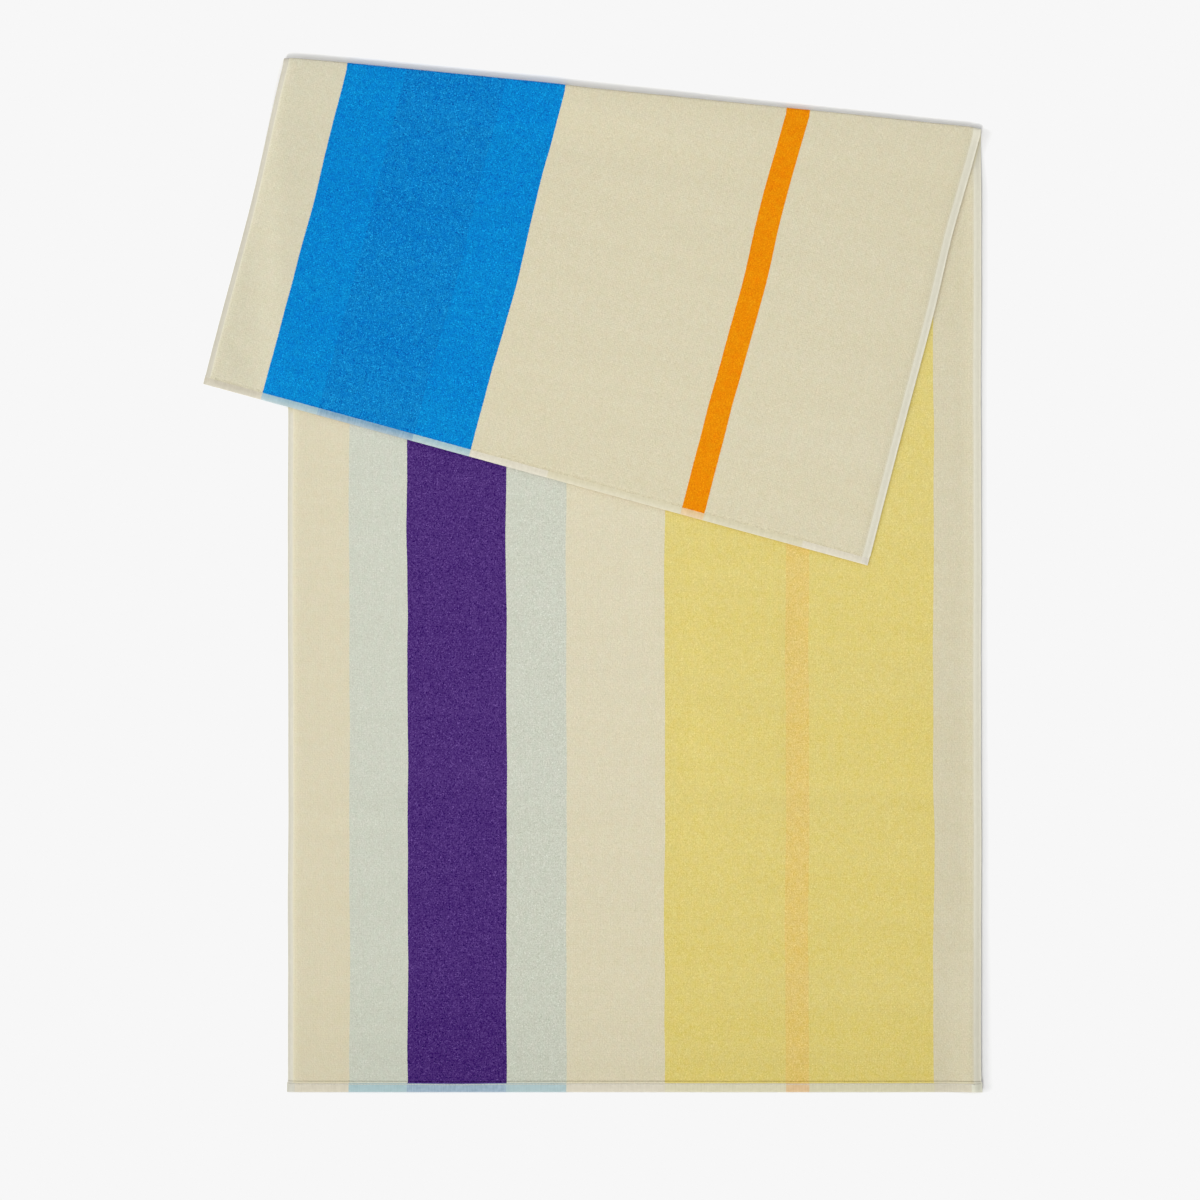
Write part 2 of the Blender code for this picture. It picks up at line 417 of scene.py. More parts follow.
normals = surface_normals(middle)
face_a = middle + normals * half_a[..., None]
face_b = middle - normals * half_b[..., None]
face_a[fold] = fold_arc(FOLD_REACH - 0.8 * half_a[fold], fold_rise - half_a[fold])
face_b[fold] = fold_arc(FOLD_REACH + half_b[fold], fold_rise + half_b[fold])

ids_a = np.arange(rows * columns).reshape(rows, columns)
ids_b = ids_a.copy()
ids_b[1:-1, 1:-1] = ids_a.size + np.arange((rows - 2) * (columns - 2)).reshape(rows - 2, -1)
points = np.concatenate([face_a.reshape(-1, 3), face_b[1:-1, 1:-1].reshape(-1, 3)])


def quads(ids):
    """Four corners of each square of a grid of point numbers."""
    return np.stack([ids[:-1, :-1], ids[:-1, 1:], ids[1:, 1:], ids[1:, :-1]], -1)


def linked(name, data):
    """A new object for a mesh, lamp or camera, put into the scene."""
    made = bpy.data.objects.new(name, data)
    bpy.context.scene.collection.objects.link(made)
    return made


def mesh_object(name, verts, faces):
    """A smooth-shaded object at the origin from points and equal-sided faces."""
    mesh = bpy.data.meshes.new(name)
    mesh.from_pydata(verts.tolist(), [], faces.tolist())
    mesh.update(calc_edges=True)
    mesh.validate()
    mesh.shade_smooth()
    return linked(name, mesh)


cloth_faces = np.concatenate([quads(ids_a).reshape(-1, 4), quads(ids_b)[:, :, ::-1].reshape(-1, 4)])
cloth = mesh_object("towel_cloth", points, cloth_faces)
print("cloth:", len(points), "points,", 2 * len(cloth_faces), "triangles")

# %% [markdown]
# ## A map that follows the cloth
#
# Stripes, loops and weave follow the cloth, so it carries its own map: metres across and
# metres along. Along is measured on the surface and scaled to the towel's full length, so a
# fold or a skew bends the pattern as it bends the yarns.


# %% Write the cloth map
def write_map(piece, values):
    """Give each corner of the mesh the map value of its point."""
    corner = np.zeros(len(piece.data.loops), np.int32)
    piece.data.loops.foreach_get("vertex_index", corner)
    layer = piece.data.uv_layers.new(name="cloth")
    layer.uv.foreach_set("vector", values[corner].astype(np.float32).ravel())


steps = np.linalg.norm(np.diff(middle, axis=0), axis=2)
travelled = np.concatenate([np.zeros((1, columns)), np.cumsum(steps, axis=0)])
lengths = travelled[-1, [0, columns // 2, -1]]
print("lengths along the cloth, left, middle, right, mm:", (lengths / MM).round())
cloth_map = np.stack([across_grid, travelled * (CLOTH_LENGTH / travelled[-1])], -1)
cloth_uv = np.concatenate([cloth_map.reshape(-1, 2), cloth_map[1:-1, 1:-1].reshape(-1, 2)])
write_map(cloth, cloth_uv)

# %% [markdown]
# ## A painted highlight round the fold
#
# Round the fold the pile is painted paler, a painted highlight on the rim that the light leaves
# dark. Each point carries how near it is to the crest of the fold, as an attribute that the
# pile's material reads.

# %% Nearness to the crest
outer_steps = np.linalg.norm(np.diff(face_b, axis=0), axis=2).mean(1)
along_outer = np.append(0.0, np.cumsum(outer_steps))
nose = along_outer[n_lower + n_fold // 2]
# Size of the painted highlight, its middle past the nose, and its width.
CREST = (1.0, 1.5 * MM, 3.5 * MM)
crest = swell(along_outer - nose, *CREST)[:, None] + np.zeros((rows, columns))


def write_crest(piece, values):
    """Give each point of the mesh its nearness to the crest."""
    layer = piece.data.attributes.new("crest", "FLOAT", "POINT")
    layer.data.foreach_set("value", values.astype(np.float32))


write_crest(cloth, np.concatenate([crest.ravel(), crest[1:-1, 1:-1].ravel()]))
print("lines across near the crest:", int((crest[:, 0] > 0.37).sum()))

# %% [markdown]
# ## Colours
#
# The stripes are tables: where each ends, measured across from the left side, its colour as
# it looks in this light, and how much its loops differ from one another. Dark loops differ
# more than pale ones, because pale yarn passes light on from loop to loop.

# %% Stripe tables
CREAM, SAND = (219, 211, 183), (214, 206, 177)
PALE_GREEN, GREY_GREEN, VIOLET = (206, 209, 194), (204, 207, 192), (76, 46, 118)
YELLOW, MARIGOLD = (222, 205, 124), (226, 199, 118)
BLUE, DEEP_BLUE, ORANGE = (1, 131, 206), (4, 125, 199), (233, 140, 1)

FACE_A = [
    (62.4, CREAM, 0.012), (120.8, PALE_GREEN, 0.021),
    (220.5, VIOLET, 0.035), (280.9, GREY_GREEN, 0.026),
    (379.9, CREAM, 0.017), (501.5, YELLOW, 0.022),
    (524.9, MARIGOLD, 0.026), (650.7, YELLOW, 0.022),
    (700.0, SAND, 0.017),
]
FACE_B = [
    (61.0, (214, 208, 182), 0.017), (120.0, BLUE, 0.036),
    (220.4, DEEP_BLUE, 0.040), (280.4, BLUE, 0.037),
    (502.5, (216, 208, 179), 0.018), (526.0, ORANGE, 0.025),
    (700.0, (216, 208, 179), 0.018),
]
HEM_A = [
    (8.0, (208, 206, 193), 0.04), (62.4, (218, 211, 191), 0.04),
    (120.8, (174, 199, 202), 0.04), (220.5, (158, 180, 196), 0.08),
    (280.9, (178, 200, 202), 0.04), (379.9, (220, 213, 194), 0.04),
    (501.5, (218, 212, 182), 0.04), (524.9, (224, 193, 149), 0.05),
    (650.7, (214, 208, 177), 0.04), (689.0, (211, 204, 183), 0.04),
    (700.0, (222, 221, 203), 0.04),
]
HEM_B = [
    (61.0, (204, 197, 178), 0.04), (120.0, (158, 187, 197), 0.04),
    (220.4, (132, 166, 188), 0.08), (280.4, (165, 194, 200), 0.04),
    (362.0, (219, 213, 194), 0.04), (502.5, (215, 208, 179), 0.04),
    (526.0, (226, 195, 148), 0.05), (630.0, (213, 206, 176), 0.04),
    (692.2, (219, 212, 192), 0.04), (700.0, (228, 222, 206), 0.04),
]
GROUND_A, GROUND_B = (227, 223, 204), (234, 230, 211)
SELVEDGE_A = [(350.0, (214, 210, 194), 0.022), (700.0, GROUND_A, 0.022)]
SELVEDGE_B = [(350.0, (207, 202, 186), 0.022), (700.0, GROUND_B, 0.022)]
THREAD_COLOUR = (226, 222, 208)
LIGHT_STRENGTH = 1.21  # light on a level face; at 1 a colour would look as it is painted


def paint(colour):
    """Looks from 0 to 255 turned into reflectance: sRGB curve undone, then over the light."""
    value = np.asarray(colour, float) / 255
    value = np.where(value <= 0.04045, value / 12.92, ((value + 0.055) / 1.055) ** 2.4)
    return value / LIGHT_STRENGTH


print("cream returns these shares of red, green and blue:", paint(CREAM).round(2))

# %% [markdown]
# ## Building materials
#
# Each material is a small graph of nodes. A few helpers keep the graphs short: `add` makes a
# node and fills its inputs, `maths` and `vectors` join values, `ranged` carries a value from one
# range to another, and `noise` is a soft random field with a grain longer one way than the other.


# %% Node helpers
def fill(tree, node, inputs):
    """Link or set each input of a node by its name or number."""
    for key, value in inputs.items():
        if isinstance(value, bpy.types.NodeSocket):
            tree.links.new(value, node.inputs[key])
        else:
            node.inputs[key].default_value = value


def add(tree, kind, inputs=None, **settings):
    """New shader node of a kind, with its settings and inputs filled in."""
    node = tree.nodes.new("ShaderNode" + kind)
    for key, value in settings.items():
        setattr(node, key, value)
    fill(tree, node, inputs or {})
    return node


def maths(tree, operation, first, second=0.0, third=0.0):
    """One step of arithmetic on sockets or numbers."""
    return add(tree, "Math", {0: first, 1: second, 2: third}, operation=operation).outputs[0]


def scaled(tree, value, factor, start=0.0):
    """A value times a factor, plus a start."""
    return maths(tree, "MULTIPLY_ADD", value, factor, start)


def vectors(tree, operation, first, second):
    """One step of arithmetic on colours or positions, part by part."""
    return add(tree, "VectorMath", {0: first, 1: second}, operation=operation).outputs[0]


def times(tree, colour, factor):
    """A colour made lighter or darker by a factor."""
    return add(tree, "VectorMath", {0: colour, "Scale": factor}, operation="SCALE").outputs[0]


def total(tree, *terms):
    """The sum of several values."""
    result = terms[0]
    for term in terms[1:]:
        result = maths(tree, "ADD", result, term)
    return result


def coordinate(tree, position, axis):
    """One part of a position: 0 is x or across, 1 is y or along."""
    return add(tree, "SeparateXYZ", {0: position}).outputs[axis]


def ranged(tree, value, before, after, **settings):
    """A value carried from one range to another, and level outside it."""
    return add(tree, "MapRange", dict(enumerate((value, *before, *after))), **settings).outputs[0]


Grain = namedtuple("Grain", "across along detail strength")


def noise(tree, position, grain):
    """Soft noise of about plus and minus half a grain's strength. Its sizes are in millimetres."""
    spread = vectors(tree, "MULTIPLY", position, (1 / MM / grain.across, 1 / MM / grain.along, 1.0))
    field = add(tree, "TexNoise", {"Vector": spread, "Scale": 1.0, "Detail": grain.detail},
                noise_dimensions="2D").outputs["Fac"]
    return scaled(tree, field, grain.strength, -grain.strength / 2)


# %% [markdown]
# ## Stripes and worn yarn
#
# A colour ramp with flat steps holds the stripes of a face: each stripe's colour, and in the
# fourth channel how much its yarns differ. Worn yarn is both brighter and paler, so one helper
# moves a colour both ways at once, and the painted light and shade go through it too.

# %% Colour helpers
SHINE, FADE = 0.65, 1.3  # how much brighter and paler worn yarn is; painted light and shade use it too
DYE_LOSS = 0.26  # paler dye is darkened by this, so it is no brighter
FADED_GAMMA = 0.6
# Matt, with a little sheen: loose fibres catch the light where cloth turns away.
MATT = {"Roughness": 1.0, "Specular IOR Level": 0.05, "Sheen Weight": 0.04, "Sheen Roughness": 0.5}


def stripe_ramp(tree, position, stripes):
    """Colour of the stripe at a position. Ends passed are counted, so every end is exact."""
    passed = [maths(tree, "GREATER_THAN", position, end * MM) for end, _, _ in stripes[:-1]]
    count = len(stripes)
    level = scaled(tree, total(tree, *passed), 1 / count, 0.5 / count)
    node = add(tree, "ValToRGB", {"Fac": level})
    ramp = node.color_ramp
    ramp.interpolation = "CONSTANT"
    for number, (_, colour, contrast) in enumerate(stripes):
        stop = ramp.elements[number] if number < 2 else ramp.elements.new(number / count)
        stop.position = number / count
        stop.color = (*paint(colour), contrast)
    return node


def varied(tree, ramp, amount, slow=0.0, dyed_and_shaded=0.0):
    """The stripe's colour, brighter and paler by amount times its contrast, and by slow in all
    stripes alike. The last input makes it paler, but no brighter, and the deep violet hardly
    changes: it carries random dye, deeper colour by the near hem and painted shade by the flap."""
    colour = ramp.outputs["Color"]
    share = scaled(tree, amount, ramp.outputs["Alpha"], slow)
    green = add(tree, "SeparateColor", {0: colour}).outputs[1]
    dyed_and_shaded = scaled(tree, dyed_and_shaded, ranged(tree, green, (0.02, 0.15), (0.25, 1.0)))
    faded = add(tree, "Gamma", {0: colour, 1: FADED_GAMMA}).outputs[0]
    paleness = scaled(tree, share, FADE, dyed_and_shaded)
    blend = add(tree, "Mix", {0: paleness, 6: colour, 7: faded}, data_type="RGBA", clamp_factor=False)
    shine = scaled(tree, share, SHINE, 1.0)
    return times(tree, blend.outputs[2], scaled(tree, dyed_and_shaded, -DYE_LOSS, shine))


def replaced(tree, colour, other, amount):
    """The colour where the amount is 0, the other where it is 1, and a mixture between."""
    mixer = add(tree, "Mix", {0: amount, 6: colour, 7: (*paint(other), 1.0)}, data_type="RGBA")
    return mixer.outputs[2]


def tinged(tree, colour, change, amount):
    """Each part of a colour times 1 plus its own change times the amount."""
    factor = vectors(tree, "ADD", times(tree, change, amount), (1.0, 1.0, 1.0))
    return vectors(tree, "MULTIPLY", colour, factor)


def cotton(name):
    """A matt material: the material, its tree, and the cloth map."""
    material = bpy.data.materials.new(name)
    material.use_nodes = True
    tree = material.node_tree
    fill(tree, tree.nodes["Principled BSDF"], MATT)
    return material, tree, add(tree, "UVMap", uv_map="cloth").outputs[0]


def finish(tree, colour, roughness, height, depth, strength=0.4):
    """Give the shader its colour, its roughness, and a bump of this depth from the height."""
    bump = add(tree, "Bump", {"Height": height, "Strength": strength, "Distance": depth})
    fill(tree, tree.nodes["Principled BSDF"],
         {"Base Color": colour, "Roughness": roughness, "Normal": bump.outputs[0]})


# %% [markdown]
# ## Painted shade beside the flap
#
# Beside the flap the lower part has painted shade: for a few millimetres its pile and its
# selvedge are painted darker and warmer, for light there has passed through more yarn. The
# renderer lets no light through the loops, so the shade is painted into the materials, by
# distance from the flap.

# %% Nearness to the flap
# How far the painted shade beside the flap reaches beyond its hem.
FLAP_SHADE_REACH = 7 * MM
SIDE_STEEP = 2.2  # the painted shade fades faster beyond the flap's side


def flap_shade_share(tree):
    """Share of the painted shade: 1 at the flap's edges, falling to 0 at 7 mm beyond its hem, and
    sooner beyond its side, by distance to those two straight lines."""
    here = add(tree, "TexCoord").outputs["Object"]
    distances = []
    for start, end, steepness in ((flap_left, flap_right, 1.0), (flap_right, fold_end[-1], SIDE_STEEP)):
        out = steepness * np.array([end[1] - start[1], start[0] - end[0]]) / np.hypot(*(end - start))
        along_out = add(tree, "VectorMath", {0: here, 1: (*out, 0.0)}, operation="DOT_PRODUCT")
        distances.append(maths(tree, "SUBTRACT", along_out.outputs["Value"], float(out @ start)))
    nearest = maths(tree, "MAXIMUM", *distances)
    return ranged(tree, nearest, (0.0, FLAP_SHADE_REACH), (1.0, 0.0), interpolation_type="SMOOTHSTEP")


# %% [markdown]
# ## Loops and strands
#
# Terry is thousands of small loops in straight columns. A cell pattern stands for them: each
# cell is one loop, rounded on top, with painted shade in the gap round it. A finer pattern stands
# for the strands of yarn: each catches the light a little differently, and brighter ones are
# paler too, as if worn. A few shine out or are sunk as specks, which show most in the dark stripes.
#
# Wider noise gives the clouds and the faint lines of a washed pile. By the near hem the pile has
# painted shade, and it is a little deeper in colour.

# %% Light and dye over the pile
LOOP_ACROSS, LOOP_ALONG = 1.7 * MM, 1.9 * MM
GAP_SHADE = 8.0  # painted shade in the gap round a loop
STRAND_LIGHT, STRAND_MEAN = 6.0, 0.24
SPECK_STRENGTH = 22.0
SLOW_STRENGTH, DYE_STRENGTH = 0.021, 0.42
HEM_SHADE, HEM_REACH = -1.9, 110 * MM  # painted shade by the near hem, and how far it reaches
HEM_DEEPER, DEEPER_REACH = -0.2, 500 * MM  # and the same for dye
FLAP_SHADE_DARK, FLAP_SHADE_DEEP = -2.6, -0.05  # painted shade beside the flap: darker, and deeper in colour
PATCHES = Grain(30, 22, 2.0, 4.0)
# Clouds, faint lines and bands in the light, then spots and bands in the dye.
LIGHT_GRAINS = [Grain(16, 14, 3.0, 1.3), Grain(1.8, 50, 1.0, 1.2), Grain(300, 22, 2.0, 1.5)]
DYE_GRAINS = [Grain(8, 7, 2.0, 1.0), Grain(400, 55, 1.0, 0.6)]


def cells(tree, position, finer):
    """A cell pattern with one cell to a loop, or so many times finer."""
    spread = vectors(tree, "MULTIPLY", position, (finer / LOOP_ACROSS, finer / LOOP_ALONG, 1.0))
    return add(tree, "TexVoronoi", {"Vector": spread, "Scale": 1.0, "Randomness": 0.6},
               voronoi_dimensions="2D")


def loop_light(tree, uv, position, contrast):
    """Light on each spot of the pile, and the height of its loops. The height is 1 less the square
    of the distance from a loop's middle, and gaps get painted shade by the same square. Each strand
    adds the square of its chance, less the mean, times a patchy strength. Last come the specks."""
    squared = maths(tree, "POWER", cells(tree, position, 1).outputs["Distance"], 2.0)
    chance = add(tree, "SeparateColor", {0: cells(tree, position, 2).outputs["Color"]}).outputs
    # Painted shade in the gaps between loops.
    gap_shade = scaled(tree, squared, -GAP_SHADE, 1.0)
    patches = total(tree, noise(tree, uv, PATCHES), STRAND_LIGHT)
    strands = scaled(tree, scaled(tree, chance[0], chance[0], -STRAND_MEAN), patches)
    spark = ranged(tree, chance[1], (0.86, 1.0), (0.0, 11.0))
    sunk = ranged(tree, chance[2], (0.80, 1.0), (0.0, -8.0))
    specks = scaled(tree, total(tree, spark, sunk), scaled(tree, contrast, SPECK_STRENGTH))
    return total(tree, gap_shade, strands, specks), maths(tree, "SUBTRACT", 1.0, squared)


def slow_changes(tree, uv, flap_shade):
    """Slow changes of light and dye: noises, painted shade by the near hem and beside the flap,
    and a deeper colour towards the near hem.
    """
    along = coordinate(tree, uv, 1)
    # Painted shade: darker towards the near hem.
    hem_shade = ranged(tree, along, (HEM, HEM_REACH), (HEM_SHADE, 0.0))
    light = total(tree, *(noise(tree, uv, grain) for grain in LIGHT_GRAINS), hem_shade,
                  scaled(tree, flap_shade, FLAP_SHADE_DARK))
    towards_hem = ranged(tree, along, (0.0, DEEPER_REACH), (HEM_DEEPER, 0.0))
    dye_and_shade = total(tree, *(noise(tree, uv, grain) for grain in DYE_GRAINS), towards_hem)
    dye_and_shade = scaled(tree, flap_shade, FLAP_SHADE_DEEP, scaled(tree, dye_and_shade, DYE_STRENGTH))
    return scaled(tree, light, SLOW_STRENGTH), dye_and_shade


print("loops per square centimetre:", round(1e-4 / (LOOP_ACROSS * LOOP_ALONG)))

# %% [markdown]
# ## The pile
#
# The pile's material puts these together. Its stripes wander a little and change sharply, but
# for stray fibres. Loop tops are a little smoother than the gaps, so roughness follows the same
# cells as the bump.

# %% Pile material
WANDER = Grain(300, 100, 1.0, 3.0 * MM)
STRAY = Grain(1.2, 1.2, 1.0, 0.7 * MM)
WARMTH = Grain(7, 10, 3.0, 1.0)
CREST_HIGHLIGHT, WARMER = (0.28, 0.29, 0.36), (0.05, -0.03, 0.0)  # changes of red, green and blue for the painted highlight round the crest, and for warmth
THIN, THIN_SHARE = 2 * MM, 0.5  # the ground shows through this near a selvedge


def pile_material(name, stripes, ground, with_flap_shade):
    """Looped cotton: striped colours changed by the loops' light, a painted highlight round the
    crest and painted shade beside the flap, and mixed with the ground's colour beside a selvedge."""
    material, tree, uv = cotton(name)
    # Share of painted shade beside the flap, on the face that lies under it.
    flap_shade = flap_shade_share(tree) if with_flap_shade else 0.0
    wander = add(tree, "CombineXYZ", {"X": noise(tree, uv, WANDER)}).outputs[0]
    swayed = vectors(tree, "ADD", uv, wander)
    ramp = stripe_ramp(tree, total(tree, coordinate(tree, swayed, 0), noise(tree, uv, STRAY)), stripes)
    light, height = loop_light(tree, uv, swayed, ramp.outputs["Alpha"])
    colour = varied(tree, ramp, light, *slow_changes(tree, uv, flap_shade))
    # Painted highlight round the fold's crest.
    crest_highlight = add(tree, "Attribute", attribute_name="crest").outputs["Fac"]
    colour = tinged(tree, colour, CREST_HIGHLIGHT, crest_highlight)
    # Random warm patches, plus painted warm shade beside the flap.
    warmth_and_flap_shade = scaled(tree, flap_shade, 0.25, noise(tree, uv, WARMTH))
    colour = tinged(tree, colour, WARMER, warmth_and_flap_shade)
    here = coordinate(tree, uv, 0)
    left, right = SELVEDGE_LEFT, WIDTH - SELVEDGE_RIGHT
    thinned = total(tree, ranged(tree, here, (left, left + THIN), (THIN_SHARE, 0.0)),
                    ranged(tree, here, (right - THIN, right), (0.0, THIN_SHARE)))
    colour = replaced(tree, colour, ground, thinned)
    finish(tree, colour, ranged(tree, height, (0.4, 1.0), (1.0, 0.86)), height, 0.30 * MM, 0.5)
    return material


pile_a = pile_material("terry_face", FACE_A, GROUND_A, with_flap_shade=True)
pile_b = pile_material("terry_reverse", FACE_B, GROUND_B, with_flap_shade=False)
print("nodes in the pile:", len(pile_a.node_tree.nodes))

# %% [markdown]
# ## Hems and selvedges
#
# Here the loops stop and the ground weave shows. Both sets of pile yarns and the weft are
# woven flat together, so a hem under a dark stripe is a pale mixture. Its grain is fine and
# runs along the hem.


# %% Flat weave materials
THREAD_PITCH = 0.6 * MM
FRAYED = Grain(2, 1, 2.0, 0.8 * MM)
MOTTLE = Grain(5, 4, 3.0, 4.0)
HEM_STREAKS = Grain(1.3, 20, 2.0, 4.0)
SELVEDGE_STREAKS = Grain(1.2, 30, 2.0, 4.0)
# Where the painted highlights lie: a width down the right side, and where the one at the flap's end starts
# and ends, from that end.
RIM_WIDTH, LIP_LIGHT_START, LIP_LIGHT_END = 0.7 * MM, 5 * MM, 0.5 * MM
# Painted shade on the selvedge beside the flap: changes of red, green and blue.
FLAP_SHADE_TINT = (-0.03, -0.07, -0.22)


def weave_material(name, stripes, streaks, lip=0.0, rim_highlight=0.0, with_flap_shade=False):
    """Flat cotton weave: threads (the product of a sine across and one along), plus mottled patches
    and fine streaks, with a painted highlight along the flap's end and another down the right side,
    and painted shade beside the flap if asked."""
    material, tree, uv = cotton(name)
    over, along = coordinate(tree, uv, 0), coordinate(tree, uv, 1)
    ramp = stripe_ramp(tree, total(tree, over, noise(tree, uv, FRAYED)), stripes)
    threads = maths(tree, "MULTIPLY", *(maths(tree, "SINE", scaled(tree, way, np.pi / THREAD_PITCH))
                                        for way in (over, along)))
    # Painted highlight down the right side, which the light leaves dark.
    right_rim_light = ranged(tree, over, (WIDTH - RIM_WIDTH, WIDTH), (0.0, rim_highlight))
    amount = total(tree, scaled(tree, threads, 0.5), noise(tree, uv, MOTTLE),
                   noise(tree, uv, streaks), right_rim_light)
    # Painted highlight along the flap's end, where its rolled edge catches the light.
    edge = ranged(tree, along, (CLOTH_LENGTH - LIP_LIGHT_START, CLOTH_LENGTH - LIP_LIGHT_END), (0.0, lip))
    colour = replaced(tree, varied(tree, ramp, amount), THREAD_COLOUR, edge)
    # Painted shade beside the flap: darker and warmer.
    if with_flap_shade:
        colour = tinged(tree, colour, FLAP_SHADE_TINT, flap_shade_share(tree))
    finish(tree, colour, scaled(tree, threads, -0.06, 0.92), threads, 0.12 * MM)
    return material


hem_a = weave_material("hem_face", HEM_A, HEM_STREAKS)
# The flap's hem gets a painted highlight along its end.
hem_b = weave_material("hem_reverse", HEM_B, HEM_STREAKS, lip=0.28)
# The face's selvedge gets a painted highlight down its right side, and painted shade beside the flap.
selvedge_a = weave_material("selvedge_face", SELVEDGE_A, SELVEDGE_STREAKS, rim_highlight=13.0, with_flap_shade=True)
selvedge_b = weave_material("selvedge_reverse", SELVEDGE_B, SELVEDGE_STREAKS)
print("threads per centimetre in the flat weave:", round(0.01 / THREAD_PITCH))

# %% [markdown]
# ## Which face gets which material
#
# Squares of the grid whose middle lies within a hem or a selvedge are flat weave, and the rest
# are pile. The grid has a line on each of those borders, so no square is cut in two.

# %% Give each face of the mesh its material
def middles(values):
    """Value in the middle of each square of the grid."""
    return (values[:-1, :-1] + values[1:, 1:]) / 2


in_selvedge = middles(edge_dist - border) < 0
slots_a = np.where(middles(end_dist - HEM) < 0, 2, np.where(in_selvedge, 4, 0))
slots_b = np.where(middles(end_dist - pile_start_b) < 0, 3, np.where(in_selvedge, 5, 1))
for material in (pile_a, pile_b, hem_a, hem_b, selvedge_a, selvedge_b):
    cloth.data.materials.append(material)
slots = np.concatenate([slots_a.ravel(), slots_b.ravel()]).astype(np.int32)
cloth.data.polygons.foreach_set("material_index", slots)
print("squares of each material, pile first:", np.bincount(slots).tolist())

# %% [markdown]
# ## Real loops and stitches
#
# On the wide faces there are too many loops to model, so the pile's material shows them. Where
# the pile ends or bends, single loops stand out against what lies behind, and those are real
# ones here: short arches of round yarn with both feet in the cloth. The same arch, longer and
# lower, makes a stitch.

# %% Arches of yarn
chances = np.random.default_rng(7)
Arch = namedtuple("Arch", "length height radius rings sides")


def surface_at(grid, row, column):
    """A grid's value between its points: the four nearest, blended by distance."""
    near = np.clip(np.floor(row).astype(int), 0, rows - 2)
    left = np.clip(np.floor(column).astype(int), 0, columns - 2)
    over, along = (column - left)[:, None], (row - near)[:, None]
    here = mix(grid[near, left], grid[near, left + 1], over)
    beyond = mix(grid[near + 1, left], grid[near + 1, left + 1], over)
    return mix(here, beyond, along)


def unit(arrows):
    """Each arrow divided by its length."""
    return arrows / np.linalg.norm(arrows, axis=-1, keepdims=True)


def arches(name, centre, forward, up, arch, stands=1.0):
    """Round yarn over half ellipses: forward by minus half the length times the cosine of an angle
    from 0 to pi, up by the height times its sine, with a circle across the path at each ring."""
    rings, sides = arch.rings, arch.sides
    angle = np.linspace(0, np.pi, rings)[:, None]
    forward, up = unit(forward)[:, None], unit(up)[:, None]
    side = unit(np.cross(forward, up))
    forward = np.cross(up, side)
    height = np.reshape(arch.height * stands, (-1, 1, 1))
    path = centre[:, None] - arch.length / 2 * np.cos(angle) * forward + height * np.sin(angle) * up
    crown = unit(arch.length / 2 * np.sin(angle) * up - height * np.cos(angle) * forward)
    turn = np.arange(sides)[:, None] * 2 * np.pi / sides
    circle = side[:, :, None] * np.cos(turn) + crown[:, :, None] * np.sin(turn)
    verts = path[:, :, None] + arch.radius * circle
    ids = np.arange(verts[..., 0].size).reshape(verts.shape[:3])
    onward = np.roll(ids, -1, axis=2)
    body = np.stack([ids[:, :-1], ids[:, 1:], onward[:, 1:], onward[:, :-1]], -1).reshape(-1, 4)
    caps = [ids[:, end][:, [0, k + 1, k + 2, k + 3][::way]] for k in range(0, sides - 2, 2)
            for end, way in ((0, 1), (-1, -1))]
    piece = mesh_object(name, verts.reshape(-1, 3), np.concatenate([body] + caps))
    print(name, len(centre), "arches,", 2 * len(piece.data.polygons), "triangles")
    return piece, rings * sides


# %% [markdown]
# ## Finding a place on the cloth
#
# A loop's place is given as the cloth knows it: how far from a hem, and how far across. From the
# grid these become a foot on the surface, a direction along the cloth and a direction out of it.

# %% Where loops and stitches go
def row_at(part, distance):
    """Number of the line across, whole or between two, that lies so far from the part's hem."""
    distances = end_dist[part, 0]
    order = np.argsort(distances)
    return part.start + np.interp(distance, distances[order], order)


outward = {"a": surface_normals(face_a), "b": -surface_normals(face_b)}
faces = {"a": face_a, "b": face_b}
LOOP = Arch(length=1.15 * MM, height=1.0 * MM, radius=0.24 * MM, rings=5, sides=4)
SIDE_TILT, TILT, TURN, STAND = 0.30, 0.25, 0.7, 0.18  # how much loops differ from one another


def place(side, row, position, depth):
    """Feet, forward and up for arches on a face, by line across and by distance across."""
    column = np.interp(position, across, np.arange(columns))
    up = surface_at(outward[side], row, column)
    feet = surface_at(faces[side], row, column) - up * np.reshape(depth, (-1, 1))
    return feet, surface_at(np.gradient(faces[side], axis=0), row, column), up


def crossing(first, second):
    """Every pair of two lists of values, as two flat arrays."""
    return [values.ravel() for values in np.meshgrid(first, second, indexing="ij")]


def loops(name, side, row, position, depth, lean=0.0):
    """Terry loops on a face. Each turns, tilts and stands a little differently."""
    feet, forward, up = place(side, row, position, depth)
    sideways = np.cross(forward, up)
    chance = chances.uniform(-1, 1, (4, len(row), 1))
    tilted = unit(up) + SIDE_TILT * chance[0] * unit(sideways) + (TILT * chance[1] + lean) * unit(forward)
    forward = unit(forward) + TURN * chance[2] * unit(sideways)
    piece, count = arches(name, feet, forward, tilted, LOOP, 1 + STAND * chance[3])
    where = surface_at(cloth_map, row, np.interp(position, across, np.arange(columns)))
    write_map(piece, np.repeat(where, count, axis=0))
    write_crest(piece, np.repeat(np.interp(row, np.arange(rows), crest[:, 0]), count))
    piece.data.materials.append(pile_a if side == "a" else pile_b)
    return piece


print("line of the flap's stitches:", row_at(flap, STITCHES).round(1))

# %% [markdown]
# ## Loops at the fold and by the flap's hem
#
# Round the fold the loops stand up against the floor, so its outline is soft. By the flap's hem
# two rows lean over the flat weave. An arch has 4 sides and 4 lengths, which is 36 triangles.

